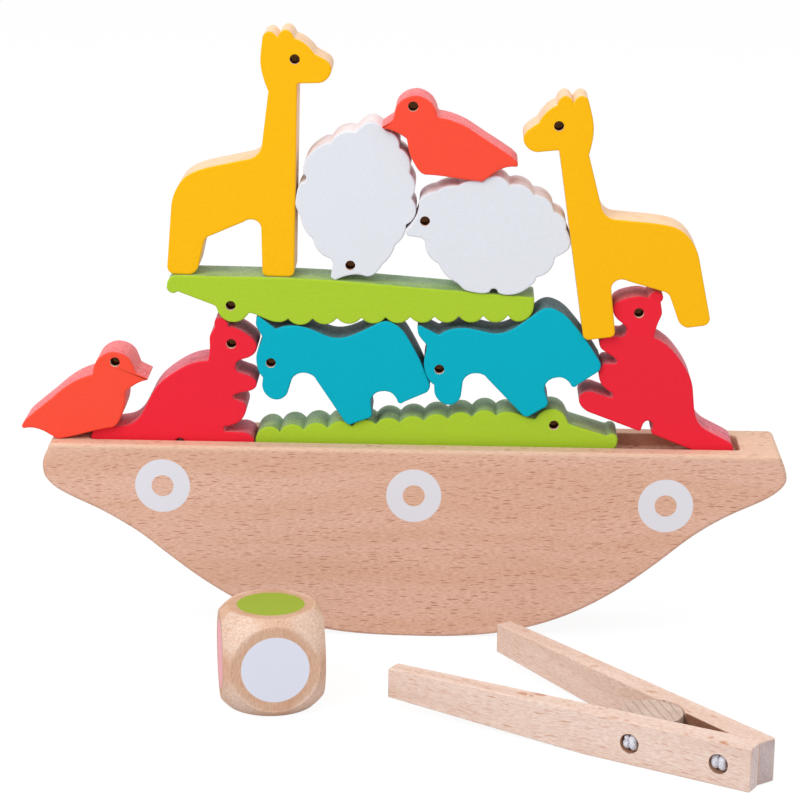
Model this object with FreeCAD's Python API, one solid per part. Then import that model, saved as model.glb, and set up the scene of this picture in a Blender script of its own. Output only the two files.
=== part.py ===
import FreeCAD, Part
import math
import os

# Stacking balance game: a rocking boat, twelve flat wooden animals stacked on it,
# a colour die and a pair of wooden tongs. Millimetres. X runs along the boat to the
# right, Y away from the viewer, Z up. The origin is the middle of the line on which
# the boat rocks, on the table.

V = FreeCAD.Vector

# ---- driving sizes ----
board_t = 18.0          # thickness of every animal
eye_d = 3.6             # drilled eye
eye_depth = 7.0         # drilled this deep from each face
groove_len = 237.0      # groove in the deck, end to end
groove_play = 1.0       # play of an animal on each side in the groove
groove_depth = 4.6
groove_corner_r = 2.0
side_rim = 7.0          # deck on each side of the groove
end_rim = 16.5          # from the groove's end to the boat's end
deck_z = 71.8           # height of the deck
hull_edge_r = 1.5       # rounding along the boat's outer edges

die_size = 35.0
die_edge_r = 2.2        # rounding of the die's edges
die_ball_d = 46.6       # ball that trims the die's corners
die_x = -47.3
die_y = -81.75
die_turn = 9.15         # degrees, anticlockwise from above

tong_len = 135.0        # one arm, back end to tip
tong_h = 15.0           # height of an arm
tong_end_t = 7.1        # thickness at the back end
tong_out_a = 11.1       # outer face against the middle line, degrees
tong_in_a = 12.45       # inner face against the middle line, degrees
tong_facet = 11.0       # flat at the back end where the two arms meet
tong_facet_gap = 0.2    # between the two flats
tong_rise = 4.3         # the lower edge climbs this much towards the tip
tong_rise_from = 60.0   # where that climb starts, from the back end
tong_tip_r = 1.2        # rounding of the tip's upper corner
tong_x = 114.35         # back end of the tongs on the table
tong_y = -148.1
tong_turn = 139.7       # direction of the tongs' middle line, degrees
pivot_u = 42.2          # centre of the round fulcrum along the middle line
pivot_w = 1.5           # and across it, towards the front arm
pivot_r = 10.7          # radius of the round fulcrum
pivot_play = 0.25       # play between the fulcrum and its socket
pivot_sink = 0.6        # the fulcrum lies this much under the arms' top
pivot_cut_a = 125.5     # direction of the fulcrum's flat end, degrees
pivot_cut = 9.4         # distance of that flat end from the centre
hole_u = (9.6, 40.7)    # holes for the elastic, along the middle line
hole_d = 4.6
sink_d = 6.8            # sunk mouth of each hole
sink_depth = 3.4
cord_d = 3.4            # the elastic, two strands together
knot_d = 5.6
knot_t = 2.3

over = 1.0              # how far a cutter reaches past the wood

# ---- sizes that follow ----
groove_w = board_t + 2 * groove_play
hull_t = groove_w + 2 * side_rim
hull_len = groove_len + 2 * end_rim
floor_z = deck_z - groove_depth
game = groove_len / 237.0       # the animals are cut to suit the groove's length


def curve_edges(start, moves):
    """Edges from a start point: one point is a line, two an arc, more a smooth curve."""
    edges = []
    here = V(start[0], 0, start[1])
    for move in moves:
        pts = [V(p[0], 0, p[1]) for p in move]
        if len(pts) == 1:
            edges.append(Part.LineSegment(here, pts[0]).toShape())
        elif len(pts) == 2:
            edges.append(Part.Arc(here, pts[0], pts[1]).toShape())
        else:
            spline = Part.BSplineCurve()
            spline.interpolate([here] + pts)
            edges.append(spline.toShape())
        here = pts[-1]
    return edges


def slab(start, moves, thick):
    """A flat board with the given outline, centred on the X-Z plane."""
    face = Part.Face(Part.Wire(curve_edges(start, moves)))
    body = face.extrude(V(0, thick, 0))
    body.translate(V(0, -thick / 2, 0))
    return body


def one_solid(shape):
    """The single solid of a shape, so that each file holds one clean piece."""
    shape = shape.removeSplitter()
    return shape.Solids[0]


# ---- the six animals ----
# Each outline is drawn round its own eye, which is at (0, 0), and faces left.

giraffe_start = (-1.2, -78.5)
giraffe_moves = [
    [(-8.7, -78.5)],
    [(-10.2, -77.8), (-10.7, -76.1)],
    [(-11.2, -61.3)],
    [(-12.6, -58.6), (-14.9, -57.9), (-17.4, -58.8)],
    [(-29.3, -64.2)],
    [(-31.0, -65.3), (-31.8, -67.0)],
    [(-33.5, -75.2)],
    [(-34.6, -77.4), (-36.6, -78.7)],
    [(-42.2, -78.7)],
    [(-44.1, -77.9), (-44.9, -76.0)],
    [(-43.5, -53.6)],
    [(-41.9, -47.9), (-38.2, -42.9), (-32.9, -40.2), (-27.9, -38.8)],
    [(-16.4, -36.1)],
    [(-12.8, -34.2), (-11.2, -30.1)],
    [(-9.2, -11.7)],
    [(-11.0, -7.0), (-12.1, -1.6), (-11.9, 3.4), (-11.5, 7.0)],
    [(-10.4, 9.0), (-8.9, 9.5), (-7.1, 8.6), (-6.1, 7.3)],
    [(-5.1, 9.4), (-3.5, 10.3), (-1.7, 9.6), (-0.4, 7.4)],
    [(2.6, 6.2), (5.3, 4.1), (6.9, 2.1)],
    [(9.9, 0.6), (12.2, -1.1), (13.0, -3.4), (12.3, -5.7), (10.6, -7.5), (7.7, -8.3)],
    [(1.0, -8.6)],
    [(0.9, -76.2)],
    [(0.2, -77.9), (-1.2, -78.5)],
]

sheep_start = (-6.65, -4.6)
sheep_moves = [
    [(-6.95, -3.7), (-6.35, -2.8)],
    [(-3.75, 0.6), (-2.65, 2.9), (-2.15, 5.7)],
    [(-1.75, 7.7), (0.25, 9.6), (3.85, 10.8)],
    [(7.95, 12.6), (12.15, 12.9)],
    [(16.25, 14.75), (20.35, 14.2)],
    [(25.35, 16.3), (30.05, 13.0)],
    [(35.05, 12.9), (38.65, 9.5)],
    [(43.55, 7.9), (45.85, 3.4)],
    [(49.35, 1.3), (50.25, -2.7)],
    [(51.25, -4.8), (51.95, -7.5), (51.05, -10.2), (48.65, -12.0), (46.35, -13.2)],
    [(44.85, -17.5), (39.85, -20.3)],
    [(39.25, -22.1), (37.55, -23.8), (34.55, -25.8), (31.95, -26.7), (29.55, -26.9),
     (27.35, -26.6), (26.15, -26.0)],
    [(24.75, -24.6), (23.15, -25.9)],
    [(21.55, -26.3), (17.45, -26.0), (13.95, -24.9), (12.35, -23.4), (11.25, -22.4)],
    [(7.35, -19.6), (4.85, -15.5)],
    [(1.25, -12.4), (0.05, -7.7)],
    [(-0.65, -6.7), (-2.15, -6.0)],
    [(-5.65, -5.5)],
    [(-6.45, -5.2), (-6.65, -4.6)],
]

bird_start = (-10.46, -8.2)
bird_moves = [
    [(-10.76, -7.9), (-10.56, -7.5)],
    [(-7.06, -5.1)],
    [(-6.51, -3.0), (-5.66, 0.0), (-3.76, 2.2), (-1.16, 3.5), (1.24, 3.85), (3.74, 3.2),
     (6.24, 1.6), (7.94, -0.9), (8.64, -3.3)],
    [(9.44, -3.75)],
    [(14.34, -4.8), (20.14, -7.4), (24.84, -10.4), (30.54, -13.9), (35.04, -16.8)],
    [(37.04, -18.6), (37.54, -19.8), (36.74, -20.55)],
    [(33.64, -20.8), (31.04, -21.8), (28.14, -23.9), (25.94, -25.5)],
    [(25.04, -26.05), (23.84, -25.95)],
    [(16.74, -25.35), (11.34, -24.65), (5.44, -24.3)],
    [(3.74, -23.8), (2.14, -22.3), (0.74, -20.1), (-0.46, -17.8), (-1.26, -15.3),
     (-1.76, -12.6), (-2.06, -11.5)],
    [(-4.36, -10.1), (-6.36, -9.15), (-10.46, -8.2)],
]

# The crocodile is drawn upside down, belly up, with its toothed back below.
croc_start = (-19.7, 10.75)
croc_teeth = 9
croc_pitch = 8.78
croc_tooth_x = 20.8
croc_tooth_z = -4.45
croc_tooth_rise = 0.345         # the back climbs towards the tail, tooth by tooth
croc_moves = [
    [(-22.0, 9.55), (-22.9, 6.95)],
    [(-22.5, 4.95), (-21.1, 4.15), (-19.3, 4.85)],
    [(-5.4, -0.25)],
    [(-4.3, -2.95)],
    [(1.3, -6.15), (6.1, -3.35)],
    [(6.6, -2.55)],
    [(10.2, -3.65), (15.2, -5.55), (18.0, -5.75), (croc_tooth_x, croc_tooth_z)],
]
for k in range(croc_teeth):
    mid_x = croc_tooth_x + croc_pitch * (k + 0.5)
    mid_z = croc_tooth_z - 2.2 + 0.42 * k - 0.0135 * k * k
    end_x = croc_tooth_x + croc_pitch * (k + 1)
    end_z = croc_tooth_z + croc_tooth_rise * (k + 1)
    croc_moves.append([(mid_x, mid_z), (end_x, end_z)])
croc_moves += [
    [(104.1, -3.65), (106.8, -2.55), (108.5, -0.35), (109.1, 2.35), (109.1, 4.35)],
    [(108.9, 5.25), (108.1, 5.45)],
    [(39.2, 10.0)],
    [(25.2, 10.55), (11.2, 10.7)],
    [croc_start],
]

donkey_start = (-4.0, 16.9)
donkey_moves = [
    [(1.8, 12.6)],
    [(4.5, 13.7), (7.9, 14.1), (12.4, 13.5), (16.9, 11.9), (20.7, 10.4), (23.9, 9.9),
     (27.9, 10.6), (32.9, 12.8), (37.4, 15.2), (40.1, 16.4), (42.3, 16.5), (44.7, 15.5),
     (47.3, 13.4), (50.0, 9.6)],
    [(54.0, 2.3), (57.3, -5.3)],
    [(57.7, -7.8), (56.5, -9.7)],
    [(48.3, -13.5)],
    [(46.8, -13.95), (46.0, -12.8)],
    [(45.0, -11.2), (43.3, -9.9), (40.9, -9.6), (38.5, -10.2), (36.9, -11.8), (36.4, -13.8)],
    [(36.7, -16.1), (37.0, -18.1)],
    [(36.5, -19.3), (34.9, -20.2)],
    [(30.1, -22.1)],
    [(28.4, -22.4), (27.0, -21.4)],
    [(16.5, -6.0)],
    [(15.3, -4.5), (13.4, -3.7), (11.4, -3.5), (9.3, -4.2), (7.7, -5.9)],
    [(6.4, -10.3)],
    [(5.1, -12.6), (2.6, -13.8), (-0.5, -13.0), (-2.6, -10.5), (-3.1, -8.1)],
    [(-2.8, -5.6)],
    [(-4.0, -4.1), (-5.2, -0.1), (-5.1, 3.5), (-3.7, 7.3), (-3.1, 9.5)],
    [(-4.3, 11.5), (-5.4, 13.9), (-5.4, 15.9)],
    [(-5.0, 17.0), (-4.0, 16.9)],
]

kangaroo_start = (3.1, 5.5)
kangaroo_moves = [
    [(3.7, 6.6), (5.1, 7.7), (6.9, 7.6), (8.1, 6.9), (8.4, 5.7), (7.6, 4.2)],
    [(8.0, 2.0), (8.2, -0.3), (7.5, -2.3), (6.5, -5.3), (6.0, -7.7), (5.8, -9.1)],
    [(8.9, -10.6), (11.7, -12.7), (14.5, -15.7), (17.0, -19.1), (19.1, -22.7),
     (20.4, -26.3), (20.9, -29.6), (21.4, -34.1), (21.9, -37.1), (22.9, -39.7),
     (24.7, -41.9), (27.75, -43.8), (32.05, -45.9), (34.9, -47.4)],
    [(36.3, -49.3), (36.1, -51.9), (34.4, -54.0), (31.7, -54.6), (28.2, -53.4)],
    [(7.8, -45.5)],
    [(6.6, -44.75), (6.3, -43.9)],
    [(6.9, -42.1), (6.4, -40.7), (5.1, -40.1), (3.8, -40.7), (3.1, -42.0)],
    [(2.6, -43.5)],
    [(2.2, -44.0), (1.5, -44.0)],
    [(-16.1, -37.7)],
    [(-18.9, -35.9), (-20.3, -33.2), (-19.4, -30.7), (-17.3, -29.8), (-14.4, -30.2)],
    [(-9.4, -31.9)],
    [(-8.1, -31.4), (-8.7, -29.9)],
    [(-11.1, -28.3), (-12.8, -26.1), (-13.5, -23.3), (-13.1, -20.7), (-11.5, -19.2)],
    [(-8.1, -19.2)],
    [(-7.2, -18.5), (-7.8, -17.4)],
    [(-9.5, -16.0), (-12.1, -14.4), (-13.6, -12.6), (-13.6, -10.6), (-11.9, -9.4),
     (-9.1, -9.1)],
    [(-6.5, -9.1)],
    [(-4.5, -8.1), (-4.1, -6.4), (-5.1, -4.7)],
    [(-5.8, -4.0)],
    [(-7.7, -2.5), (-9.0, -0.6), (-9.3, 1.3), (-8.4, 3.3), (-6.1, 4.7), (-3.1, 5.6),
     (-0.1, 6.05), (3.1, 5.5)],
]

outlines = {
    "giraffe": (giraffe_start, giraffe_moves),
    "sheep": (sheep_start, sheep_moves),
    "bird": (bird_start, bird_moves),
    "crocodile": (croc_start, croc_moves),
    "donkey": (donkey_start, donkey_moves),
    "kangaroo": (kangaroo_start, kangaroo_moves),
}

# ---- how they are stacked ----
# Name: outline, mirrored, turn in degrees (anticlockwise from the front), where its eye
# is (X, and the height over the groove's floor), and how far the board stands forward
# of the boat's middle. Each rests on its neighbours.
stack = {
    "kangaroo_left": ("kangaroo", True, -19.78, -66.65, 40.97, 0.0),
    "crocodile_lower": ("crocodile", False, -176.65, 50.64, 12.29, -0.71),
    "kangaroo_right": ("kangaroo", False, -0.59, 80.07, 54.95, 0.06),
    "bird_left": ("bird", True, 8.18, -108.69, 33.98, 2.2),
    "donkey_left": ("donkey", False, -0.53, -52.29, 34.30, 0.81),
    "donkey_right": ("donkey", False, 9.74, 8.70, 33.18, 1.6),
    "crocodile_upper": ("crocodile", False, -0.31, -66.78, 55.30, 0.74),
    "giraffe_left": ("giraffe", False, -0.70, -43.83, 144.37, -0.81),
    "giraffe_right": ("giraffe", True, 8.58, 49.53, 122.69, 2.77),
    "sheep_left": ("sheep", True, -107.62, -23.77, 70.75, 0.2),
    "sheep_right": ("sheep", False, 0.70, 2.79, 87.62, 1.63),
    "bird_top": ("bird", False, -0.75, -1.89, 128.89, 2.9),
}


def animal(kind):
    """One animal round its eye, with the eye drilled into both faces."""
    start, moves = outlines[kind]
    start = (start[0] * game, start[1] * game)
    moves = [[(x * game, z * game) for x, z in move] for move in moves]
    body = slab(start, moves, board_t)
    for side in (-1, 1):
        eye = Part.makeCylinder(eye_d / 2, eye_depth + over,
                                V(0, side * (board_t / 2 + over), 0), V(0, -side, 0))
        body = body.cut(eye)
    return one_solid(body)


def stacked(kind, mirrored, turn, x, up, forward):
    """An animal mirrored, turned and set in its place on the boat."""
    body = animal(kind)
    if mirrored:
        body = body.mirror(V(0, 0, 0), V(1, 0, 0))
    body.rotate(V(0, 0, 0), V(0, 1, 0), -turn)
    body.translate(V(x * game, -forward * game, floor_z + up * game))
    return body


# ---- the boat ----
# Its outline from the left end under the keel to the right end, as shares of half the
# boat's length and of the deck's height. The left end is a little fuller.
hull_line = [
    (-0.985, 0.972), (-0.9945, 0.935), (-0.9995, 0.905), (-1.0, 0.862), (-0.995, 0.824),
    (-0.984, 0.796), (-0.969, 0.769), (-0.946, 0.741), (-0.906, 0.703), (-0.858, 0.661),
    (-0.784, 0.584), (-0.741, 0.532), (-0.691, 0.459), (-0.557, 0.270), (-0.409, 0.120),
    (-0.22, 0.024), (0, 0), (0.22, 0.021), (0.409, 0.118), (0.557, 0.270), (0.691, 0.465),
    (0.741, 0.544), (0.765, 0.578), (0.824, 0.650), (0.883, 0.708), (0.942, 0.762),
    (0.966, 0.790), (0.985, 0.821), (0.997, 0.852), (1.0, 0.876), (0.998, 0.905),
    (0.993, 0.940), (0.985, 0.972),
]


def hull():
    """The boat: a thick board with a round keel, edges rounded, and a groove on top."""
    half = hull_len / 2
    line = [(x * half, z * deck_z) for x, z in hull_line]
    corner = [(0.980 * half, 0.992 * deck_z), (0.969 * half, deck_z)]
    other = [(-0.980 * half, 0.992 * deck_z), line[0]]
    body = slab(line[0], [line[1:], corner, [(-0.969 * half, deck_z)], other], hull_t)
    rim = [e for e in body.Edges if abs(e.BoundBox.YMax - e.BoundBox.YMin) < 0.01]
    body = body.makeFillet(hull_edge_r, rim)
    groove = Part.makeBox(groove_len, groove_w, groove_depth + over,
                          V(-groove_len / 2, -groove_w / 2, floor_z))
    posts = [e for e in groove.Edges if abs(e.BoundBox.ZMax - e.BoundBox.ZMin) > groove_depth]
    groove = groove.makeFillet(groove_corner_r, posts)
    return one_solid(body.cut(groove))


# ---- the die ----
def die():
    """A cube with rounded edges whose corners are trimmed by a ball."""
    s = die_size
    cube = Part.makeBox(s, s, s, V(-s / 2, -s / 2, -s / 2))
    cube = cube.makeFillet(die_edge_r, cube.Edges)
    body = cube.common(Part.makeSphere(die_ball_d / 2))
    body.rotate(V(0, 0, 0), V(0, 0, 1), die_turn)
    body.translate(V(die_x, die_y, s / 2))
    return one_solid(body)


# ---- the tongs ----
# Drawn along their middle line: u runs from the back ends to the tips, w across
# towards the front arm. The arms are mirror images of each other.
tan_in = math.tan(math.radians(tong_in_a))
tan_out = math.tan(math.radians(tong_out_a))
tong_mid_a = math.radians((tong_in_a + tong_out_a) / 2)


def flat(points, low, high):
    """An upright block over a plan outline of straight sides."""
    pts = [V(p[0], p[1], low) for p in points]
    face = Part.Face(Part.makePolygon(pts + [pts[0]]))
    return face.extrude(V(0, 0, high - low))


def arm_plan():
    """Plan of the front arm: the flat at the back end, then the straight inner face."""
    gap = tong_facet_gap / 2
    tip_u = tong_len * math.cos(tong_mid_a)
    tip_in = (tip_u, gap + (tip_u - tong_facet) * tan_in)
    tip_t = (tong_end_t + tip_u * tan_out - tip_in[1]) * math.cos(tong_mid_a)
    tip_out = (tip_u - tip_t * math.sin(tong_mid_a), tip_in[1] + tip_t * math.cos(tong_mid_a))
    back_u = -tong_end_t * math.sin(tong_mid_a)
    back_out = (back_u, tong_end_t + back_u * tan_out)
    return [(0, gap), (tong_facet, gap), tip_in, tip_out, back_out]


def arm_side():
    """Side view of an arm along its length: level top, lower edge climbing to the tip."""
    r = tong_tip_r
    q = r * 0.45
    k = r * (1 - math.sqrt(0.5))
    kq = q * (1 - math.sqrt(0.5))
    end = tong_len
    moves = [
        [(tong_rise_from, 0)],
        [(end - q, tong_rise * (end - q - tong_rise_from) / (end - tong_rise_from))],
        [(end - kq, tong_rise + kq), (end, tong_rise + q)],
        [(end, tong_h - r)],
        [(end - k, tong_h - k), (end - r, tong_h)],
        [(-tong_end_t, tong_h)],
        [(-tong_end_t, 0)],
    ]
    return slab((-tong_end_t, 0), moves, tong_len)


def hole_point(u):
    """Where the line of an elastic meets the outer face of the front arm."""
    return V(u, tong_end_t + u * tan_out, tong_h / 2)


def across_out():
    """The direction square to the front arm's outer face."""
    a = math.radians(tong_out_a)
    return V(-math.sin(a), math.cos(a), 0)


def drill(u):
    """The drill that makes the hole for an elastic, square to the middle line."""
    return Part.makeCylinder(hole_d / 2, tong_len, V(u, -tong_len / 2, tong_h / 2), V(0, 1, 0))


def front_arm():
    body = flat(arm_plan(), 0, tong_h)
    side = arm_side()
    side.rotate(V(0, 0, 0), V(0, 0, 1), math.degrees(tong_mid_a))
    body = body.common(side)
    for u in hole_u:
        p = hole_point(u)
        n = across_out()
        mouth = Part.makeCylinder(sink_d / 2, sink_depth + over, p - n * sink_depth, n)
        body = body.cut(drill(u)).cut(mouth)
    return body


def fulcrum():
    """The round fulcrum: a disc cut off flat along the front arm and at its back end."""
    low = pivot_sink / 2
    high = tong_h - pivot_sink
    disc = Part.makeCylinder(pivot_r, high - low, V(pivot_u, pivot_w, low))
    gap = tong_facet_gap / 2
    far = tong_len
    beyond = flat([(tong_facet, gap), (far, gap + (far - tong_facet) * tan_in), (far, far),
                   (tong_facet, far)], -over, tong_h + over)
    a = math.radians(pivot_cut_a)
    n = V(-math.sin(a), -math.cos(a), 0)
    t = V(-n.y, n.x, 0)
    c = V(pivot_u, pivot_w, 0) + n * pivot_cut
    ends = [c + t * far, c - t * far, c - t * far + n * far, c + t * far + n * far]
    back = flat([(p.x, p.y) for p in ends], -over, tong_h + over)
    return disc.cut(beyond).cut(back).cut(drill(hole_u[1]))


def rear_arm():
    """The rear arm: the front arm mirrored, with the round socket for the fulcrum."""
    body = front_arm().mirror(V(0, 0, 0), V(0, 1, 0))
    socket = Part.makeCylinder(pivot_r + pivot_play, tong_h + 2 * over,
                               V(pivot_u, pivot_w, -over))
    return body.cut(socket)


def elastic(u):
    """An elastic through both arms, with a knot sunk in the mouth of each hole."""
    p = hole_point(u)
    n = across_out()
    foot = p - n * sink_depth
    cord = Part.makeCylinder(cord_d / 2, 2 * foot.y, V(u, -foot.y, tong_h / 2), V(0, 1, 0))
    knot = Part.makeCylinder(knot_d / 2, knot_t, foot, n)
    ring = [e for e in knot.Edges if e.Length > knot_d and (e.CenterOfMass - foot).Length > knot_t / 2]
    knot = knot.makeFillet(knot_t * 0.45, ring[:1])
    other = knot.mirror(V(0, 0, 0), V(0, 1, 0))
    return cord.fuse(knot).fuse(other)


def on_table(body):
    body.rotate(V(0, 0, 0), V(0, 0, 1), tong_turn)
    body.translate(V(tong_x, tong_y, 0))
    return one_solid(body)


nodes = {"boat_hull": hull()}
for name, (kind, mirrored, turn, x, up, forward) in stack.items():
    nodes[name] = stacked(kind, mirrored, turn, x, up, forward)
nodes["colour_die"] = die()
nodes["tongs_front_arm"] = on_table(front_arm())
nodes["tongs_fulcrum_block"] = on_table(fulcrum())
nodes["tongs_rear_arm"] = on_table(rear_arm())
nodes["tongs_elastic_back"] = on_table(elastic(hole_u[0]))
nodes["tongs_elastic_pivot"] = on_table(elastic(hole_u[1]))

os.makedirs("parts", exist_ok=True)
for name, shape in nodes.items():
    box = shape.BoundBox
    print(name, shape.isValid(), len(shape.Solids), round(shape.Volume, 1),
          [round(v, 2) for v in (box.XMin, box.YMin, box.ZMin, box.XMax, box.YMax, box.ZMax)])
    shape.exportStep("parts/" + name + ".step")
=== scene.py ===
import math
import bmesh
import bpy
from mathutils import Matrix, Vector


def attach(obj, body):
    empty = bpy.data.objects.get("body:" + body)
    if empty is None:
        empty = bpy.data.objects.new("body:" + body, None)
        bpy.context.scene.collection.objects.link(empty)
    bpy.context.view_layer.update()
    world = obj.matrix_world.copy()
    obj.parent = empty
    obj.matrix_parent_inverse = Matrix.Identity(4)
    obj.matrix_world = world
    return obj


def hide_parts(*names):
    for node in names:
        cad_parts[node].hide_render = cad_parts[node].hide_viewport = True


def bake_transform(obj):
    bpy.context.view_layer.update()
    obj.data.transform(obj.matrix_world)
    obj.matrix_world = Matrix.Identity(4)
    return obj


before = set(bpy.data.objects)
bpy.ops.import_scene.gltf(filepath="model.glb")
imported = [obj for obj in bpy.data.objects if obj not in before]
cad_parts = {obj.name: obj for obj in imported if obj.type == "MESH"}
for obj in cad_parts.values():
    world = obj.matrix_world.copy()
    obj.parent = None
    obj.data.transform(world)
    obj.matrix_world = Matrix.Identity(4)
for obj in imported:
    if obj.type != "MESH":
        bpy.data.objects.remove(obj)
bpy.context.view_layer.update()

MM = 0.001
half_board, eye_r, eye_depth = 9.0, 1.8, 14.0     # the animals' board and eyes, mm

# --- Camera ---
# The stack is looked at from straight in front, a little above the top of the boat,
# with a long lens, so the boat's deck and the animals' top edges just show.
yaw, pitch, roll = math.radians(1.308), math.radians(15.456), math.radians(0.650)
camera_at = (0.01654, -0.97023, 0.35407)
look = Vector((-math.sin(yaw) * math.cos(pitch), math.cos(yaw) * math.cos(pitch), -math.sin(pitch)))
side = Vector((math.cos(yaw), math.sin(yaw), 0))
up = side.cross(look)
right = math.cos(roll) * side + math.sin(roll) * up
top = -math.sin(roll) * side + math.cos(roll) * up
lens = bpy.data.cameras.new("front_camera")
lens.sensor_width = 36
lens.lens = 123.70
lens.clip_start = 0.05
camera = bpy.data.objects.new("front_camera", lens)
bpy.context.scene.collection.objects.link(camera)
camera.matrix_world = Matrix((
    (right.x, top.x, -look.x, camera_at[0]),
    (right.y, top.y, -look.y, camera_at[1]),
    (right.z, top.z, -look.z, camera_at[2]),
    (0, 0, 0, 1)))
bpy.context.scene.camera = camera

# --- Table and light ---
# A plain pale table in a white room. Large soft lamps stand above and to the left,
# and the table throws some light back up under the boat.


def paint_of(hex_code):
    """An sRGB hex colour as the linear numbers a shader wants."""
    out = []
    for k in (0, 2, 4):
        c = int(hex_code[k:k + 2], 16) / 255
        out.append(c / 12.92 if c <= 0.04045 else ((c + 0.055) / 1.055) ** 2.4)
    return (*out, 1.0)


def add_node(tree, kind, settings):
    """One node with its settings and links. Each key is a property, or an input's name or
    number; an input takes a value, an sRGB hex code, or the socket that feeds it."""
    node = tree.nodes.new(kind)
    for key, value in settings.items():
        if isinstance(key, str) and hasattr(node, key):
            setattr(node, key, value)
        elif isinstance(value, bpy.types.NodeSocket):
            tree.links.new(value, node.inputs[key])
        else:
            node.inputs[key].default_value = paint_of(value) if isinstance(value, str) else value
    return node


bpy.context.scene.view_settings.view_transform = "Standard"
room = bpy.data.worlds.new("white_room")
bpy.context.scene.world = room
room.use_nodes = True
rt = room.node_tree
rt.nodes.clear()
path = add_node(rt, "ShaderNodeLightPath", {})
seen = add_node(rt, "ShaderNodeMath", {
    "operation": "MAXIMUM", 0: path.outputs["Is Camera Ray"], 1: path.outputs["Is Glossy Ray"]})
ambient = add_node(rt, "ShaderNodeBackground", {"Color": paint_of("FFFFFF"), "Strength": 0.56})
white = add_node(rt, "ShaderNodeBackground", {"Color": paint_of("FFFFFF"), "Strength": 1.0})
both = add_node(rt, "ShaderNodeMixShader", {
    0: seen.outputs[0], 1: ambient.outputs[0], 2: white.outputs[0]})
add_node(rt, "ShaderNodeOutputWorld", {"Surface": both.outputs[0]})

bpy.ops.mesh.primitive_plane_add(size=6, location=(0, 0, 0))
table = bpy.context.object
table.name = "table_top"
table_paint = bpy.data.materials.new("pale_table")
table_paint.use_nodes = True
tt = table_paint.node_tree
tt.nodes.clear()
path = add_node(tt, "ShaderNodeLightPath", {})
seen = add_node(tt, "ShaderNodeMath", {
    "operation": "MAXIMUM", 0: path.outputs["Is Camera Ray"], 1: path.outputs["Is Glossy Ray"]})
matt = add_node(tt, "ShaderNodeBsdfDiffuse", {"Color": paint_of("D6D6D8")})
faint = add_node(tt, "ShaderNodeBsdfDiffuse", {"Color": (0.11, 0.11, 0.112, 1)})
glow = add_node(tt, "ShaderNodeEmission", {"Color": paint_of("FFFFFF"), "Strength": 0.92})
pale = add_node(tt, "ShaderNodeAddShader", {0: faint.outputs[0], 1: glow.outputs[0]})
shown = add_node(tt, "ShaderNodeMixShader", {
    0: seen.outputs[0], 1: matt.outputs[0], 2: pale.outputs[0]})
add_node(tt, "ShaderNodeOutputMaterial", {"Surface": shown.outputs[0]})
table.data.materials.append(table_paint)


def soft_lamp(name, place, aim, size, power):
    """A square soft lamp of a power in watts at a place, turned towards a point."""
    lamp = bpy.data.lights.new(name, "AREA")
    lamp.size = size
    lamp.energy = power
    obj = bpy.data.objects.new(name, lamp)
    bpy.context.scene.collection.objects.link(obj)
    obj.location = place
    obj.rotation_euler = (Vector(aim) - Vector(place)).to_track_quat("-Z", "Y").to_euler()


stack_middle, lamp_size = (0, 0, 0.1), 0.9
soft_lamp("key_lamp", (-0.75, -0.95, 1.15), stack_middle, lamp_size, 13.2)
soft_lamp("fill_lamp", (0.95, -0.9, 0.75), stack_middle, lamp_size, 2.2)
soft_lamp("top_lamp", (0.1, 0.25, 1.4), stack_middle, lamp_size, 4.2)

# --- Boat ---
# One board of steamed beech, 34 mm thick, sawn to a round keel, its edges sanded
# round and a groove milled in the deck. Three ring windows are printed on each side.


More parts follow.
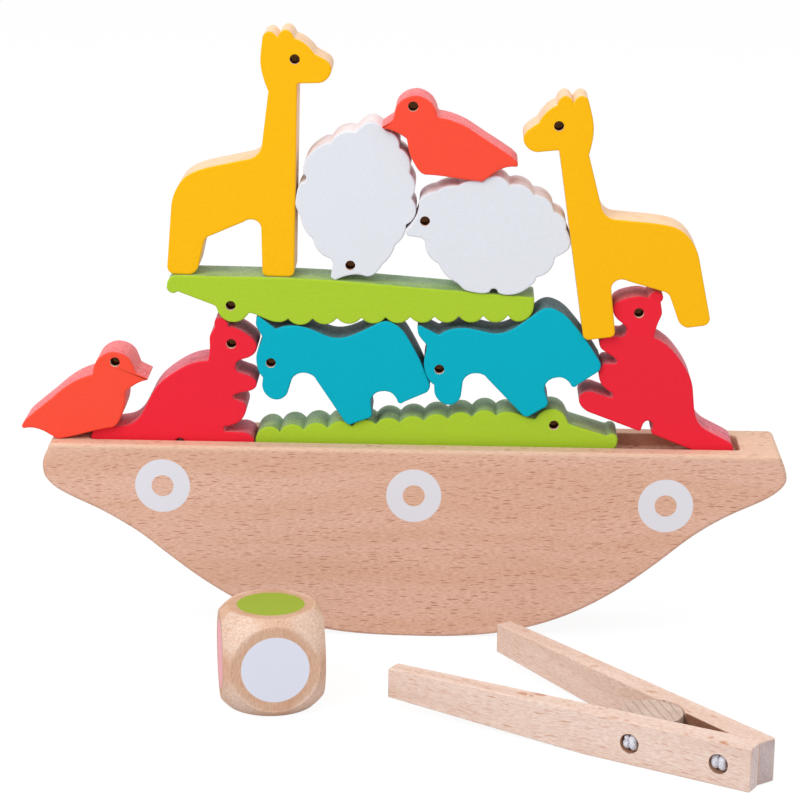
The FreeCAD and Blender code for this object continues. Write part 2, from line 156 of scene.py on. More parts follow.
def to_bench(node, name, round_mm, body, segments=3, sharp=30, left_sharp=None, eye=None):
    """A copy of a sawn piece whose sharp edges are sanded round; it stands for the node.
    Edges whose middle passes the test left_sharp keep their edge. An eye, given as the
    X and Z of its middle in mm, is plugged first and drilled again once all is sanded."""
    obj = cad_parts[node].copy()
    obj.data = obj.data.copy()
    obj.name = name
    for key in [k for k in obj.keys() if k.startswith("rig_")]:
        del obj[key]
    obj.parent = None
    obj.data.materials.clear()
    bpy.context.scene.collection.objects.link(obj)
    bpy.ops.object.select_all(action="DESELECT")
    obj.select_set(True)
    bpy.context.view_layer.objects.active = obj
    bpy.ops.mesh.customdata_custom_splitnormals_clear()
    verts = obj.data.vertices
    for face in obj.data.polygons:
        face.select = bool(eye) and all(
            math.hypot(verts[k].co.x / MM - eye[0], verts[k].co.z / MM - eye[1]) < eye_r + 0.1
            for k in face.vertices)
    bpy.ops.object.mode_set(mode="EDIT")
    if eye:
        bpy.ops.mesh.select_mode(type="FACE")
        bpy.ops.mesh.delete(type="FACE")
    bpy.ops.mesh.select_mode(type="EDGE")
    bpy.ops.mesh.select_all(action="SELECT")
    bpy.ops.mesh.remove_doubles(threshold=2e-6)
    if eye:
        bpy.ops.mesh.fill_holes(sides=0)
        bpy.ops.mesh.select_all(action="SELECT")
        bpy.ops.mesh.normals_make_consistent(inside=False)
    bpy.ops.mesh.dissolve_limited(angle_limit=math.radians(0.25))
    bpy.ops.mesh.select_all(action="DESELECT")
    bpy.ops.mesh.edges_select_sharp(sharpness=math.radians(sharp))
    bpy.ops.object.mode_set(mode="OBJECT")
    solid = bmesh.new()
    solid.from_mesh(obj.data)
    if solid.calc_volume(signed=True) < 0:
        bmesh.ops.reverse_faces(solid, faces=solid.faces)
        solid.to_mesh(obj.data)
    solid.free()
    verts = obj.data.vertices
    weight = obj.data.attributes.new("bevel_weight_edge", "FLOAT", "EDGE")
    for edge in obj.data.edges:
        middle = (verts[edge.vertices[0]].co + verts[edge.vertices[1]].co) / 2 / MM
        if edge.select and not (left_sharp and left_sharp(middle)):
            weight.data[edge.index].value = 1.0
    bevel = obj.modifiers.new("sanded_edges", "BEVEL")
    bevel.width = round_mm * MM
    bevel.segments = segments
    bevel.limit_method = "WEIGHT"
    bevel.use_clamp_overlap = False
    bevel.miter_outer = "MITER_ARC"
    bpy.ops.object.modifier_apply(modifier=bevel.name)
    if eye:
        ys = [v.co.y for v in obj.data.vertices]
        for way in (-1, 1):
            bpy.ops.mesh.primitive_cylinder_add(
                vertices=40, radius=eye_r * MM, depth=eye_depth * MM, rotation=(math.pi / 2, 0, 0),
                location=(eye[0] * MM, (min(ys) + max(ys)) / 2 + way * half_board * MM,
                          eye[1] * MM))
            bit = bpy.context.object
            drill = obj.modifiers.new("drill", "BOOLEAN")
            drill.operation = "DIFFERENCE"
            drill.solver = "MANIFOLD"
            drill.object = bit
            bpy.context.view_layer.objects.active = obj
            bpy.ops.object.modifier_apply(modifier=drill.name)
            bpy.data.objects.remove(bit)
        obj.data.materials.clear()
        for face in obj.data.polygons:
            face.material_index = 0
        obj.select_set(True)
    bpy.ops.object.shade_smooth_by_angle(angle=math.radians(38))
    for face in obj.data.polygons:
        if eye and abs(face.normal.y) > 0.99995:
            face.use_smooth = False
    even = obj.modifiers.new("even_faces", "WEIGHTED_NORMAL")
    even.keep_sharp = True
    bpy.ops.object.modifier_apply(modifier=even.name)
    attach(obj, body)
    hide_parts(node)
    return obj


def grain_noise(tree, place, size_mm, detail=2.0, rough=0.5):
    """Noise whose patches measure size_mm along the three grain directions."""
    scaled = add_node(tree, "ShaderNodeMapping", {
        "Scale": tuple(1 / s for s in size_mm), "Vector": place})
    return add_node(tree, "ShaderNodeTexNoise", {
        "Scale": 1.0, "Detail": detail, "Roughness": rough,
        "Vector": scaled.outputs[0]}).outputs["Fac"]


def flecks(tree, place, pitch_mm, fleck_mm, share):
    """Spindle-shaped flecks, one in each cell of the wood in a share of the cells."""
    cells = add_node(tree, "ShaderNodeMapping", {
        "Scale": tuple(1 / p for p in pitch_mm), "Vector": place}).outputs[0]
    cell = add_node(tree, "ShaderNodeTexVoronoi", {
        "Scale": 1.0, "Randomness": 1.0, "Vector": cells})
    away = add_node(tree, "ShaderNodeVectorMath", {
        "operation": "SUBTRACT", 0: cells, 1: cell.outputs["Position"]})
    shape = add_node(tree, "ShaderNodeVectorMath", {
        "operation": "MULTIPLY", 1: tuple(2 * p / f for p, f in zip(pitch_mm, fleck_mm)),
        0: away.outputs[0]})
    reach = add_node(tree, "ShaderNodeVectorMath", {
        "operation": "LENGTH", 0: shape.outputs[0]}).outputs["Value"]
    chance = add_node(tree, "ShaderNodeSeparateColor", {0: cell.outputs["Color"]})
    size = add_node(tree, "ShaderNodeMath", {
        "operation": "MULTIPLY_ADD", 0: chance.outputs[1], 1: 0.9, 2: 0.55}).outputs[0]
    mark = add_node(tree, "ShaderNodeMapRange", {
        "interpolation_type": "SMOOTHSTEP",
        0: add_node(tree, "ShaderNodeMath", {
            "operation": "DIVIDE", 0: reach, 1: size}).outputs[0], 1: 0.45, 2: 1.05, 3: 1.0,
        4: 0.0}).outputs[0]
    dark = add_node(tree, "ShaderNodeMath", {
        "operation": "MULTIPLY_ADD", 0: chance.outputs[2], 1: 0.6, 2: 0.4}).outputs[0]
    kept = add_node(tree, "ShaderNodeMapRange", {
        "interpolation_type": "SMOOTHSTEP", 0: chance.outputs[0], 1: 0.97 - share,
        2: 1.03 - share}).outputs[0]
    return add_node(tree, "ShaderNodeMath", {
        "operation": "MULTIPLY",
        0: add_node(tree, "ShaderNodeMath", {
            "operation": "MULTIPLY", 0: mark, 1: kept}).outputs[0], 1: dark}).outputs[0]


def beech(name, light, base, fleck, turn=(0, 0, 0), fleck_mm=(2.9, 2.6, 0.34), strength=0.8,
          pitch_mm=(3.6, 2.4, 1.15), share=0.9):
    """Beech, sanded and bare: close, pale, with short darker ray flecks along the grain.
    Returns the material, its tree, the shader, the colour and the place in metres."""
    mat = bpy.data.materials.new(name)
    mat.use_nodes = True
    tree = mat.node_tree
    tree.nodes.clear()
    where = add_node(tree, "ShaderNodeTexCoord", {}).outputs["Object"]
    straight = add_node(tree, "ShaderNodeMapping", {
        "Rotation": turn, "Scale": (1000, 1000, 1000), "Vector": where}).outputs[0]
    sway = add_node(tree, "ShaderNodeMath", {
        "operation": "MULTIPLY_ADD", 0: grain_noise(tree, straight, (70, 40, 40), 1), 1: 14.0,
        2: -7.0}).outputs[0]
    lift = add_node(tree, "ShaderNodeCombineXYZ", {2: sway})
    grain = add_node(tree, "ShaderNodeVectorMath", {
        "operation": "ADD", 0: straight, 1: lift.outputs[0]}).outputs[0]
    # Real flecks are 1 to 3 mm long and about 0.1 mm thick: they are drawn 0.3 mm thick
    # or more, and the fibre lines 0.35 mm apart, so that they show.
    rings = grain_noise(tree, grain, (170, 8, 10), 3, 0.55)      # slow bands of growth, mm
    fibre = grain_noise(tree, grain, (2.2, 0.5, 0.35), 3, 0.65)  # fibre lines, mm
    bold = flecks(tree, grain, pitch_mm, fleck_mm, share)
    fine = flecks(tree, grain, tuple(0.55 * p for p in pitch_mm),
                  tuple(0.5 * f for f in fleck_mm), share)
    colour = add_node(tree, "ShaderNodeMix", {
        "data_type": "RGBA",
        0: add_node(tree, "ShaderNodeMapRange", {
            "interpolation_type": "SMOOTHSTEP", 0: rings, 1: 0.38, 2: 0.62}).outputs[0],
        6: base, 7: light}).outputs[2]
    colour = add_node(tree, "ShaderNodeMix", {
        "data_type": "RGBA",
        0: add_node(tree, "ShaderNodeMapRange", {
            "interpolation_type": "SMOOTHSTEP", 0: fibre, 1: 0.38, 2: 0.66,
            4: 0.34}).outputs[0], 6: colour, 7: fleck}).outputs[2]
    colour = add_node(tree, "ShaderNodeMix", {
        "data_type": "RGBA",
        0: add_node(tree, "ShaderNodeMath", {
            "operation": "MULTIPLY", 0: fine, 1: 0.6 * strength}).outputs[0], 6: colour,
        7: fleck}).outputs[2]
    colour = add_node(tree, "ShaderNodeMix", {
        "data_type": "RGBA",
        0: add_node(tree, "ShaderNodeMath", {
            "operation": "MULTIPLY", 0: bold, 1: strength}).outputs[0], 6: colour,
        7: fleck}).outputs[2]
    bump = add_node(tree, "ShaderNodeBump", {
        "Strength": 0.1, "Distance": 0.0001,
        "Height": add_node(tree, "ShaderNodeMath", {
            "operation": "SUBTRACT", 0: fibre, 1: bold}).outputs[0]}).outputs[0]
    shader = add_node(tree, "ShaderNodeBsdfPrincipled", {
        "Roughness": 0.6, "IOR": 1.5, "Specular IOR Level": 0.15, "Base Color": colour,
        "Normal": bump})
    add_node(tree, "ShaderNodeOutputMaterial", {"Surface": shader.outputs[0]})
    return mat, tree, shader, colour, where


boat_wood, tree, shader, colour, where = beech(
    "steamed_beech_boat", "EBC1AC", "E6B9A0", "AC6A4C", (0, math.radians(1.5), 0))
xyz = add_node(tree, "ShaderNodeSeparateXYZ", {"Vector": where})
x, y, z = (add_node(tree, "ShaderNodeMath", {
    "operation": "MULTIPLY", 0: xyz.outputs[k], 1: 1000}).outputs[0] for k in range(3))
# Painted highlight: from about 2 mm below its top, the deck and its rounded rim are drawn lighter,
# as the lamps above light them.
deck_painted_highlight = add_node(tree, "ShaderNodeMapRange", {
    "interpolation_type": "SMOOTHSTEP", 0: z, 1: 69.2, 2: 71.3, 4: 0.45}).outputs[0]
colour = add_node(tree, "ShaderNodeMix", {
    "data_type": "RGBA", 0: deck_painted_highlight, 6: colour, 7: "EBCBAE"}).outputs[2]
# The ring windows: inner and outer radius, and the X and Z of their middles, in mm.
ring_in, ring_out, ring_blur = 4.0, 10.0, 0.1
ring_mask = None
for ring_x, ring_z in ((-91.28, 56.57), (0.15, 54.42), (91.59, 52.28)):
    dx = add_node(tree, "ShaderNodeMath", {"operation": "SUBTRACT", 0: x, 1: ring_x}).outputs[0]
    dz = add_node(tree, "ShaderNodeMath", {"operation": "SUBTRACT", 0: z, 1: ring_z}).outputs[0]
    r = add_node(tree, "ShaderNodeMath", {
        "operation": "SQRT",
        0: add_node(tree, "ShaderNodeMath", {
            "operation": "ADD",
            0: add_node(tree, "ShaderNodeMath", {
                "operation": "MULTIPLY", 0: dx, 1: dx}).outputs[0],
            1: add_node(tree, "ShaderNodeMath", {
                "operation": "MULTIPLY", 0: dz, 1: dz}).outputs[0]}).outputs[0]}).outputs[0]
    band = add_node(tree, "ShaderNodeMath", {
        "operation": "MULTIPLY",
        0: add_node(tree, "ShaderNodeMapRange", {
            "interpolation_type": "SMOOTHSTEP", 0: r, 1: ring_in - ring_blur,
            2: ring_in + ring_blur}).outputs[0],
        1: add_node(tree, "ShaderNodeMapRange", {
            "interpolation_type": "SMOOTHSTEP", 0: r, 1: ring_out - ring_blur,
            2: ring_out + ring_blur, 3: 1.0, 4: 0.0}).outputs[0]}).outputs[0]
    if ring_mask is not None:
        band = add_node(tree, "ShaderNodeMath", {
            "operation": "MAXIMUM", 0: ring_mask, 1: band}).outputs[0]
    ring_mask = band
flank = add_node(tree, "ShaderNodeMapRange", {
    "interpolation_type": "SMOOTHSTEP",
    0: add_node(tree, "ShaderNodeMath", {"operation": "ABSOLUTE", 0: y}).outputs[0], 1: 16.7,
    2: 16.9}).outputs[0]
ring_mask = add_node(tree, "ShaderNodeMath", {
    "operation": "MULTIPLY", 0: ring_mask, 1: flank}).outputs[0]
colour = add_node(tree, "ShaderNodeMix", {
    "data_type": "RGBA",
    0: add_node(tree, "ShaderNodeMath", {
        "operation": "MULTIPLY", 0: ring_mask, 1: 0.97}).outputs[0], 6: colour,
    7: "E4E4EC"}).outputs[2]
tree.links.new(colour, shader.inputs["Base Color"])
boat = to_bench("boat_hull", "boat_beech_board", 0.5, "game", 3, 40)
boat.data.materials.append(boat_wood)

# --- Animals ---
# Twelve animals sawn from 18 mm board, a hole drilled into each face for the eyes. Both
# faces have a full coat of paint; the sawn edges only took a thin wash, so wood shows.


def painted_board(name, face, front, back, bare, deep):
    """Water-based paint on beech: full coat on the two faces, thin wash on the edges,
    stronger towards the front, with pores of bare wood and deeper paint in patches."""
    mat = bpy.data.materials.new(name)
    mat.use_nodes = True
    tree = mat.node_tree
    tree.nodes.clear()
    where = add_node(tree, "ShaderNodeTexCoord", {}).outputs["Object"]
    place = add_node(tree, "ShaderNodeMapping", {
        "Scale": (1000, 1000, 1000), "Vector": where}).outputs[0]
    through = add_node(tree, "ShaderNodeAttribute", {"attribute_name": "through_board"})
    depth = add_node(tree, "ShaderNodeMath", {
        "operation": "ABSOLUTE", 0: through.outputs["Fac"]}).outputs[0]
    # The coat's edge wanders by half a millimetre, as paint creeps over a sawn edge.
    ragged = grain_noise(tree, place, (1.6, 1.6, 1.6), 3, 0.6)
    coat = add_node(tree, "ShaderNodeMapRange", {
        "interpolation_type": "SMOOTHSTEP",
        0: add_node(tree, "ShaderNodeMath", {
            "operation": "MULTIPLY_ADD", 0: ragged, 1: 0.5, 2: depth}).outputs[0], 1: 8.75,
        2: 8.95}).outputs[0]
    # Pores of about 0.1 mm are drawn 0.38 mm wide to show: the light streaks of bare wood
    # in the wash, with patches of about 6 mm where more of it soaked in.
    pores = grain_noise(tree, place, (0.38, 1.5, 0.38), 3, 0.7)
    cloud = grain_noise(tree, place, (6, 5, 6), 2, 0.5)
    edge = add_node(tree, "ShaderNodeMix", {
        "data_type": "RGBA",
        0: add_node(tree, "ShaderNodeMapRange", {
            "interpolation_type": "SMOOTHSTEP", 0: through.outputs["Fac"], 1: -8.5,
            2: 4.0}).outputs[0], 6: front, 7: back}).outputs[2]
    edge = add_node(tree, "ShaderNodeMix", {
        "data_type": "RGBA",
        0: add_node(tree, "ShaderNodeMapRange", {
            "interpolation_type": "SMOOTHSTEP", 0: pores, 1: 0.42, 2: 0.66, 4: 0.7}).outputs[0],
        6: edge, 7: bare}).outputs[2]
    edge = add_node(tree, "ShaderNodeMix", {
        "data_type": "RGBA",
        0: add_node(tree, "ShaderNodeMapRange", {
            "interpolation_type": "SMOOTHSTEP", 0: cloud, 1: 0.48, 2: 0.72, 4: 0.4}).outputs[0],
        6: edge, 7: deep}).outputs[2]
    # The grain below mottles the painted face faintly, drawn 1.3 mm coarse to show.
    speck = grain_noise(tree, place, (1.3, 1.3, 0.5), 3, 0.7)
    coated = add_node(tree, "ShaderNodeMix", {
        "data_type": "RGBA", "blend_type": "MULTIPLY",
        0: add_node(tree, "ShaderNodeMapRange", {
            "interpolation_type": "SMOOTHSTEP", 0: speck, 1: 0.3, 2: 0.7, 4: 0.35}).outputs[0],
        6: face, 7: "EEEEEE"}).outputs[2]
    colour = add_node(tree, "ShaderNodeMix", {
        "data_type": "RGBA", 0: coat, 6: edge, 7: coated}).outputs[2]
    skin = grain_noise(tree, place, (1.2, 1.2, 0.4), 2, 0.5)
    bump = add_node(tree, "ShaderNodeBump", {
        "Strength": 0.06, "Distance": 0.0001, "Height": skin}).outputs[0]
    shader = add_node(tree, "ShaderNodeBsdfPrincipled", {
        "Roughness": 0.55, "IOR": 1.5, "Specular IOR Level": 0.09, "Base Color": colour,
        "Normal": bump})
    add_node(tree, "ShaderNodeOutputMaterial", {"Surface": shader.outputs[0]})
    return mat


# A drilled hole in beech: its wall is drawn dark brown, painted shade for the little light that
# gets into the hole, while its mouth is fresh pale wood, so that the eye is near black with a thin
# pale crescent, and its floor catches some light.
drilled = bpy.data.materials.new("drilled_beech_eye")
drilled.use_nodes = True
dt = drilled.node_tree
dt.nodes.clear()
through = add_node(dt, "ShaderNodeAttribute", {"attribute_name": "through_board"})
depth = add_node(dt, "ShaderNodeMath", {
    "operation": "ABSOLUTE", 0: through.outputs["Fac"]}).outputs[0]
dark_wall_mottle = grain_noise(
    dt,
    add_node(dt, "ShaderNodeMapping", {
        "Scale": (1000, 1000, 1000),
        "Vector": add_node(dt, "ShaderNodeTexCoord", {}).outputs["Object"]}).outputs[0],
    (0.6, 1.5, 0.6))
eye_with_painted_shade = add_node(dt, "ShaderNodeMix", {
    "data_type": "RGBA",
    0: add_node(dt, "ShaderNodeMapRange", {
        "interpolation_type": "SMOOTHSTEP", 0: dark_wall_mottle, 1: 0.35, 2: 0.65}).outputs[0], 6: "4A2614",
    7: "7A4626"}).outputs[2]
eye_with_painted_shade = add_node(dt, "ShaderNodeMix", {
    "data_type": "RGBA",
    0: add_node(dt, "ShaderNodeMapRange", {
        "interpolation_type": "SMOOTHSTEP", 0: depth, 1: 6.7, 2: 7.7}).outputs[0], 6: eye_with_painted_shade,
    7: "F2D3BE"}).outputs[2]
eye_with_painted_shade = add_node(dt, "ShaderNodeMix", {
    "data_type": "RGBA",
    0: add_node(dt, "ShaderNodeMapRange", {
        "interpolation_type": "SMOOTHSTEP", 0: depth, 1: 2.3, 2: 2.8, 3: 1.0,
        4: 0.0}).outputs[0], 6: eye_with_painted_shade, 7: "F0B880"}).outputs[2]
shader = add_node(dt, "ShaderNodeBsdfPrincipled", {
    "Roughness": 0.7, "Specular IOR Level": 0.1, "Base Color": eye_with_painted_shade})
add_node(dt, "ShaderNodeOutputMaterial", {"Surface": shader.outputs[0]})

# Name: face, edge at the front, edge at the back, bare wood in it, deeper paint in it.
paints = {
    "yellow": painted_board("yellow_paint_giraffe", "FFBE0F", "FAD0A0", "F8D2AC", "FCE2C6",
                            "EDB684"),
    "white": painted_board("white_paint_sheep", "E5E8EF", "F0EEF4", "EFE6EC", "F5DFD3",
                           "CDB4BB"),
    "orange": painted_board("orange_red_paint_bird", "FD523C", "F4656A", "F07478", "F9B4B2",
                            "DE6068"),
    "green": painted_board("lime_paint_crocodile", "AED034", "A3C75C", "93B58C", "C3D6B6",
                           "6F9468"),
    "teal": painted_board("teal_paint_donkey", "00B1C8", "3D6A75", "48606A", "8AA0A6",
                          "26363D"),
    "red": painted_board("red_paint_kangaroo", "F1293C", "EC5768", "D9707F", "F4AAB2",
                         "9A4A5C"),
}
# Name: paint, slot, and where the middle of the eye is, X and Z in mm.
herd = {
    "giraffe_left": ("yellow", "paint_yellow", -43.83, 211.57),
    "giraffe_right": ("yellow", "paint_yellow", 49.53, 189.89),
    "sheep_left": ("white", "paint_white", -23.77, 137.95),
    "sheep_right": ("white", "paint_white", 2.79, 154.82),
    "bird_left": ("orange", "paint_orange", -108.69, 101.18),
    "bird_top": ("orange", "paint_orange", -1.89, 196.09),
    "crocodile_lower": ("green", "paint_green", 50.64, 79.49),
    "crocodile_upper": ("green", "paint_green", -66.78, 122.50),
    "donkey_left": ("teal", "paint_teal", -52.29, 101.50),
    "donkey_right": ("teal", "paint_teal", 8.70, 100.38),
    "kangaroo_left": ("red", "paint_red", -66.65, 108.17),
    "kangaroo_right": ("red", "paint_red", 80.07, 122.15),
}
for node, (paint, slot, eye_x, eye_z) in herd.items():
    animal = to_bench(node, node + "_painted", 0.55, "game", 3, 40, eye=(eye_x, eye_z))
    animal.data.materials.append(paints[paint])
    animal.data.materials.append(drilled)
    ys = [v.co.y / MM for v in animal.data.vertices]
    middle = (min(ys) + max(ys)) / 2
    through = animal.data.attributes.new("through_board", "FLOAT", "POINT")
    for v in animal.data.vertices:
        through.data[v.index].value = v.co.y / MM - middle
    # The walls of each eye take the drilled material, whose dark brown wall is painted shade.
    for face in animal.data.polygons:
        c = face.center / MM
        if (math.hypot(c.x - eye_x, c.z - eye_z) < eye_r + 0.05
                and abs(c.y - middle) < half_board - 1):
            face.material_index = 1

# --- Die ---
# A 35 mm beech die, edges rounded and corners tumbled on a ball, with a round spot of
# flat paint in a different colour on each of its six faces.
die_wood, tree, shader, colour, where = beech(
    "beech_die", "E4BFA5", "DAB093", "A8704F", (0, math.radians(90), 0), (2.4, 1.0, 0.3), 0.45,
    (2.8, 1.2, 0.9))
turn = math.radians(9.15)
cx, cy, cz = -0.0473, -0.08175, 0.0175
lx = -(cx * math.cos(turn) + cy * math.sin(turn))
ly = -(-cx * math.sin(turn) + cy * math.cos(turn))
local = add_node(tree, "ShaderNodeMapping", {
    "Rotation": (0, 0, -turn), "Location": (lx, ly, -cz), "Vector": where})
xyz = add_node(tree, "ShaderNodeSeparateXYZ", {"Vector": local.outputs[0]})
axes = [add_node(tree, "ShaderNodeMath", {
    "operation": "MULTIPLY", 0: xyz.outputs[k], 1: 1000}).outputs[0] for k in range(3)]
out_x, out_y, out_z = (add_node(tree, "ShaderNodeMath", {
    "operation": "ABSOLUTE", 0: a}).outputs[0] for a in axes)
# Tumbling leaves fine pale scratches at the eight corners, drawn 0.45 mm apart to show.
corner = add_node(tree, "ShaderNodeMath", {
    "operation": "ADD",
    0: add_node(tree, "ShaderNodeMath", {"operation": "ADD", 0: out_x, 1: out_y}).outputs[0],
    1: out_z}).outputs[0]
corner = add_node(tree, "ShaderNodeMapRange", {
    "interpolation_type": "SMOOTHSTEP", 0: corner, 1: 35.0, 2: 39.5}).outputs[0]
hatch = add_node(tree, "ShaderNodeMapRange", {
    "interpolation_type": "SMOOTHSTEP",
    0: grain_noise(tree, local.outputs[0], (0.0012, 0.0012, 0.00045), 3, 0.6), 1: 0.36,
    2: 0.66}).outputs[0]
corner = add_node(tree, "ShaderNodeMath", {
    "operation": "MULTIPLY", 0: corner,
    1: add_node(tree, "ShaderNodeMath", {
        "operation": "MULTIPLY_ADD", 0: hatch, 1: 0.75, 2: 0.25}).outputs[0]}).outputs[0]
colour = add_node(tree, "ShaderNodeMix", {
    "data_type": "RGBA",
    0: add_node(tree, "ShaderNodeMath", {
        "operation": "MULTIPLY", 0: corner, 1: 0.6}).outputs[0], 6: colour,
    7: "F6E2D6"}).outputs[2]
# Each spot: the axis it faces along, which way, and its paint.
spots = ((1, -1, "E0E2F0"), (1, 1, "00ACC6"), (2, 1, "9CB03A"), (2, -1, "FF5742"),
         (0, -1, "F6B0BA"), (0, 1, "FFC414"))
for axis, way, hex_code in spots:
    a, b = [axes[k] for k in range(3) if k != axis]
    r = add_node(tree, "ShaderNodeMath", {
        "operation": "SQRT",
        0: add_node(tree, "ShaderNodeMath", {
            "operation": "ADD",
            0: add_node(tree, "ShaderNodeMath", {
                "operation": "MULTIPLY", 0: a, 1: a}).outputs[0],
            1: add_node(tree, "ShaderNodeMath", {
                "operation": "MULTIPLY", 0: b, 1: b}).outputs[0]}).outputs[0]}).outputs[0]
    flat = add_node(tree, "ShaderNodeMapRange", {
        "interpolation_type": "SMOOTHSTEP",
        0: add_node(tree, "ShaderNodeMath", {
            "operation": "MULTIPLY", 0: axes[axis], 1: way}).outputs[0], 1: 17.2,
        2: 17.4}).outputs[0]
    # Each flat was ground after tumbling: a slightly darker ring shows round its spot.
    worn = add_node(tree, "ShaderNodeMath", {
        "operation": "MULTIPLY",
        0: add_node(tree, "ShaderNodeMapRange", {
            "interpolation_type": "SMOOTHSTEP", 0: r, 1: 14.4, 2: 15.2, 3: 1.0,
            4: 0.0}).outputs[0], 1: flat}).outputs[0]
    colour = add_node(tree, "ShaderNodeMix", {
        "data_type": "RGBA",
        0: add_node(tree, "ShaderNodeMath", {
            "operation": "MULTIPLY", 0: worn, 1: 0.22}).outputs[0], 6: colour,
        7: "B98765"}).outputs[2]
    spot = add_node(tree, "ShaderNodeMath", {
        "operation": "MULTIPLY",
        0: add_node(tree, "ShaderNodeMapRange", {
            "interpolation_type": "SMOOTHSTEP", 0: r, 1: 11.55, 2: 11.75, 3: 1.0,
            4: 0.0}).outputs[0], 1: flat}).outputs[0]
    colour = add_node(tree, "ShaderNodeMix", {
        "data_type": "RGBA", 0: spot, 6: colour, 7: hex_code}).outputs[2]
tree.links.new(colour, shader.inputs["Base Color"])
die = to_bench("colour_die", "colour_die_beech", 0.4, "game", 2, 50)
die.data.materials.append(die_wood)

# --- Tongs ---
# Two arms of pale beech rock on a round block between them. The front arm carries the
# block; the rear arm has a round socket for it and is held by the elastics.
arm_turn = math.radians(139.7)
tongs_x, tongs_y = 114.35, -148.1
arm_mid = math.radians(11.775)
tan_out = math.tan(math.radians(11.1))
hole_u = {"back": 9.6, "pivot": 40.7}           # along the tongs, mm
half_tall, end_half, sunk = 7.5, 7.1, 3.4       # arm's half height, half the back end, mm
mouth_r = 3.55                                  # just past a hole's mouth, mm
# Planed beech, its grain along each arm: long thin orange-brown dashes on pale wood.
front_wood = beech("pale_beech_front_arm", "F0DACD", "E6CCBD", "C07A52",
                   (0, 0, math.radians(28.5)), (4.4, 3.0, 0.36), 0.8, (6.0, 3.0, 1.7), 0.75)[0]
rear_wood = beech("pale_beech_rear_arm", "F1DACD", "E8CDBE", "C48A68",
                  (0, 0, math.radians(52.1)), (5.0, 3.0, 0.36), 0.6, (7.5, 3.0, 1.9), 0.6)[0]
block_wood, tree, shader, colour, where = beech(
    "beech_block_end_grain", "DAC4B6", "CFB8A9", "A4887A",
    (0, math.radians(90), 0), (2.0, 0.4, 0.6), 0.4, (2.2, 1.0, 1.0))
# End grain: the block's top shows its years as soft lines, about 2.9 mm apart.
years = add_node(tree, "ShaderNodeMapping", {
    "Rotation": (0, 0, math.radians(-15)), "Scale": (1000, 1000, 1000),
    "Vector": where}).outputs[0]
waver = grain_noise(tree, years, (4, 9, 9), 2)
along = add_node(tree, "ShaderNodeSeparateXYZ", {"Vector": years}).outputs[0]
phase = add_node(tree, "ShaderNodeMath", {
    "operation": "MULTIPLY",
    0: add_node(tree, "ShaderNodeMath", {
        "operation": "MULTIPLY_ADD", 0: waver, 1: 1.6, 2: along}).outputs[0],
    1: 2 * math.pi / 2.9}).outputs[0]
year = add_node(tree, "ShaderNodeMapRange", {
    "interpolation_type": "SMOOTHSTEP",
    0: add_node(tree, "ShaderNodeMath", {"operation": "SINE", 0: phase}).outputs[0], 1: 0.45,
    2: 0.98}).outputs[0]
colour = add_node(tree, "ShaderNodeMix", {
    "data_type": "RGBA",
    0: add_node(tree, "ShaderNodeMath", {"operation": "MULTIPLY", 0: year, 1: 0.38}).outputs[0],
    6: colour, 7: "8F7263"}).outputs[2]
tree.links.new(colour, shader.inputs["Base Color"])
# The arms' end grain comes in two copies, and the rear arm's is darker: painted shade on the rear
# end.
end_grain_painted_light = {}
for way, name, light, base in ((1, "front", "F2E0DC", "E8D2CD"), (-1, "rear", "DACAC8", "CDB9B6")):
    end_grain_painted_light[way] = beech("beech_end_grain_painted_light_" + name, light, base, "A48C88",
                          (0, math.radians(90), math.radians(30)),
                          (2.5, 0.4, 0.8), 0.5, (3.0, 1.0, 1.2))[0]
# Painted shade: the walls of the sunk holes in the arms are a darker brown beech, for the shade
# inside them.
hole_painted_shade = beech("beech_drilled_hole_painted_shade", "B48A70", "966A54", "5E3C2E",
                  (0, 0, math.radians(28.5)), (1.0, 0.4, 0.4), 0.5)[0]


def on_table(u, w, z):
    """A place on the tongs, along and across their middle line, in the row frame."""
    return Vector((tongs_x + u * math.cos(arm_turn) - w * math.sin(arm_turn),
                   tongs_y + u * math.sin(arm_turn) + w * math.cos(arm_turn), z)) * MM


def in_hole(p, way):
    """Whether a place in mm lies in one of the sunk holes of the front or rear arm."""
    du, dw = p.x - tongs_x, p.y - tongs_y
    u = du * math.cos(arm_turn) + dw * math.sin(arm_turn)
    w = -du * math.sin(arm_turn) + dw * math.cos(arm_turn)
    for hole in hole_u.values():
        mouth = (end_half + hole * tan_out) * way
        slant = (w - mouth) * -tan_out * way
        if math.hypot(u - hole - slant, p.z - half_tall) < mouth_r:
            return True
    return False


for node, name, wood, body, way in (
        ("tongs_front_arm", "tongs_front_arm_beech", front_wood, "game", 1),
        ("tongs_rear_arm", "tongs_rear_arm_beech", rear_wood, "tongs_moving_arm", -1),
        ("tongs_fulcrum_block", "tongs_fulcrum_block_beech", block_wood, "game", 0)):
    arm = to_bench(node, name, 0.5 if way else 0.3, body, 3, 35,
                   (lambda p: in_hole(p, way)) if way else None)
    arm.data.materials.append(wood)
    if way:
        arm.data.materials.append(end_grain_painted_light[way])
        arm.data.materials.append(hole_painted_shade)
        along = arm_turn + way * arm_mid
        run = Vector((math.cos(along), math.sin(along), 0))
        across = arm_turn + way * math.radians(90 + 11.1)
        out = Vector((math.cos(across), math.sin(across), 0))
        # End faces take their arm's copy of the end grain; the rear arm's copy is painted shade.
        for face in arm.data.polygons:
            if abs(face.normal.dot(run)) > 0.97 and not in_hole(face.center / MM, way):
                face.material_index = 1
            # The walls of the sunk holes take the darker beech of painted shade.
            elif in_hole(face.center / MM, way) and face.normal.dot(out) < 0.9:
                face.material_index = 2

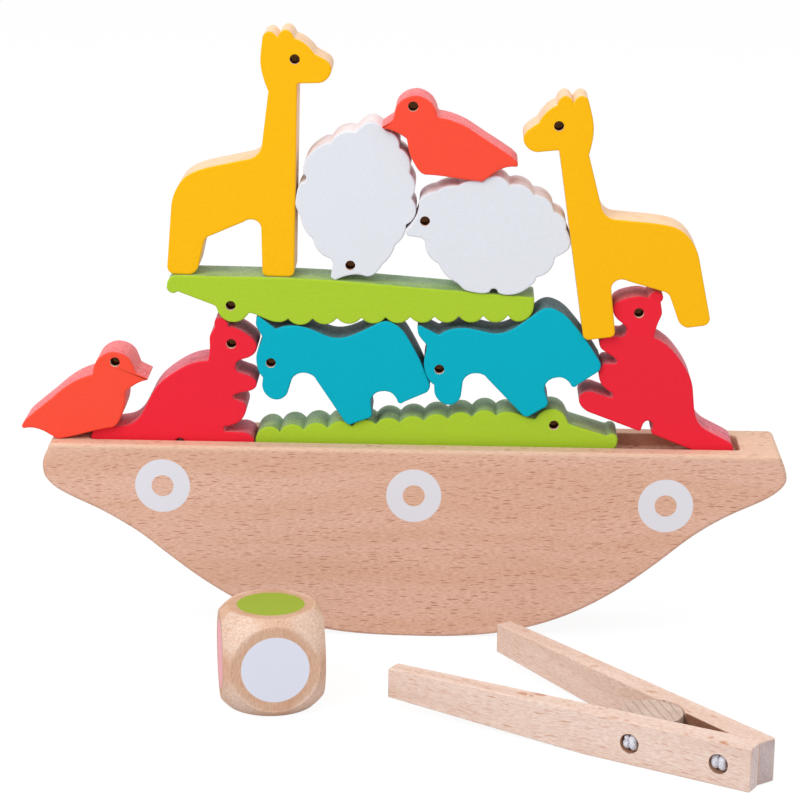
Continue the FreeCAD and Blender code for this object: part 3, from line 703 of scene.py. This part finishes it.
# --- Elastics ---
# White braided elastic, two strands side by side through both arms, knotted in the
# sunk mouth of each hole. Closing the tongs stretches it, and it pulls them open.
# Its braided cover gives fine soft shading, from threads of about 0.4 mm.
elastic_white = bpy.data.materials.new("white_braided_elastic")
elastic_white.use_nodes = True
et = elastic_white.node_tree
et.nodes.clear()
where = add_node(et, "ShaderNodeTexCoord", {}).outputs["Object"]
place = add_node(et, "ShaderNodeMapping", {
    "Scale": (1000, 1000, 1000), "Vector": where}).outputs[0]
braid = grain_noise(et, place, (0.4, 0.4, 0.4), 2, 0.6)
colour = add_node(et, "ShaderNodeMix", {
    "data_type": "RGBA",
    0: add_node(et, "ShaderNodeMapRange", {
        "interpolation_type": "SMOOTHSTEP", 0: braid, 1: 0.35, 2: 0.6}).outputs[0], 6: "C4C4D2",
    7: "F2F2F8"}).outputs[2]
bump = add_node(et, "ShaderNodeBump", {"Strength": 0.5, "Distance": 0.0002, "Height": braid})
shader = add_node(et, "ShaderNodeBsdfPrincipled", {
    "Roughness": 0.85, "Specular IOR Level": 0.1, "Base Color": colour,
    "Normal": bump.outputs[0]})
add_node(et, "ShaderNodeOutputMaterial", {"Surface": shader.outputs[0]})


def strand(name, points, thick):
    """A smooth round strand through the given places on the tongs."""
    curve = bpy.data.curves.new(name, "CURVE")
    curve.dimensions = "3D"
    curve.bevel_depth = thick / 2 * MM
    curve.bevel_resolution = 4
    curve.use_fill_caps = True
    curve.resolution_u = 6
    line = curve.splines.new("NURBS")
    line.points.add(len(points) - 1)
    for p, place in zip(line.points, points):
        p.co = (*on_table(*place), 1)
    line.order_u = 4
    line.use_endpoint_u = True
    obj = bpy.data.objects.new(name, curve)
    bpy.context.scene.collection.objects.link(obj)
    bpy.ops.object.select_all(action="DESELECT")
    obj.select_set(True)
    bpy.context.view_layer.objects.active = obj
    bpy.ops.object.convert(target="MESH")
    return bpy.context.object


# Name: where its hole is along the tongs, and the folds of its knots as seen from the
# front: middle and half length along, middle and half length up, thickness and lean.
knots = {
    "back": ((-1.4, 0.0, 1.3, 2.75, 0.0), (1.4, 0.0, 1.3, 2.75, 0.0)),
    "pivot": ((-1.2, 0.0, 1.3, 3.0, 0.1), (1.3, -0.9, 0.6, 2.2, 0.2), (1.0, 1.4, 0.3, 1.6, 0.3)),
}
for label, u in hole_u.items():
    foot = end_half + u * tan_out - sunk
    parts = []
    for side_z in (-0.85, 0.85):
        points = [(u, (foot + 0.3) * (1 - k / 16), half_tall + side_z) for k in range(33)]
        parts.append(strand("strand", points, 1.55))
    for way in (1, -1):
        for mid_u, mid_z, half, thick, lean in knots[label]:
            fold = []
            for k in range(13):
                t = math.pi * (k / 12 - 0.5)
                rise = math.sin(t)
                out = foot + 0.5 + (2.6 - thick / 2) * math.cos(t) ** 0.6
                fold.append((u + 0.9 + mid_u + lean * rise, way * out,
                             half_tall + mid_z + (half + 0.25) * rise))
            parts.append(strand("strand", fold, thick))
    bpy.ops.object.select_all(action="DESELECT")
    for part in parts:
        part.select_set(True)
    bpy.context.view_layer.objects.active = parts[0]
    bpy.ops.object.join()
    elastic = bpy.context.object
    elastic.name = "tongs_elastic_" + label + "_braid"
    bpy.ops.object.shade_smooth()
    elastic.data.materials.clear()
    elastic.data.materials.append(elastic_white)
    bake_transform(elastic)
    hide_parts("tongs_elastic_" + label)
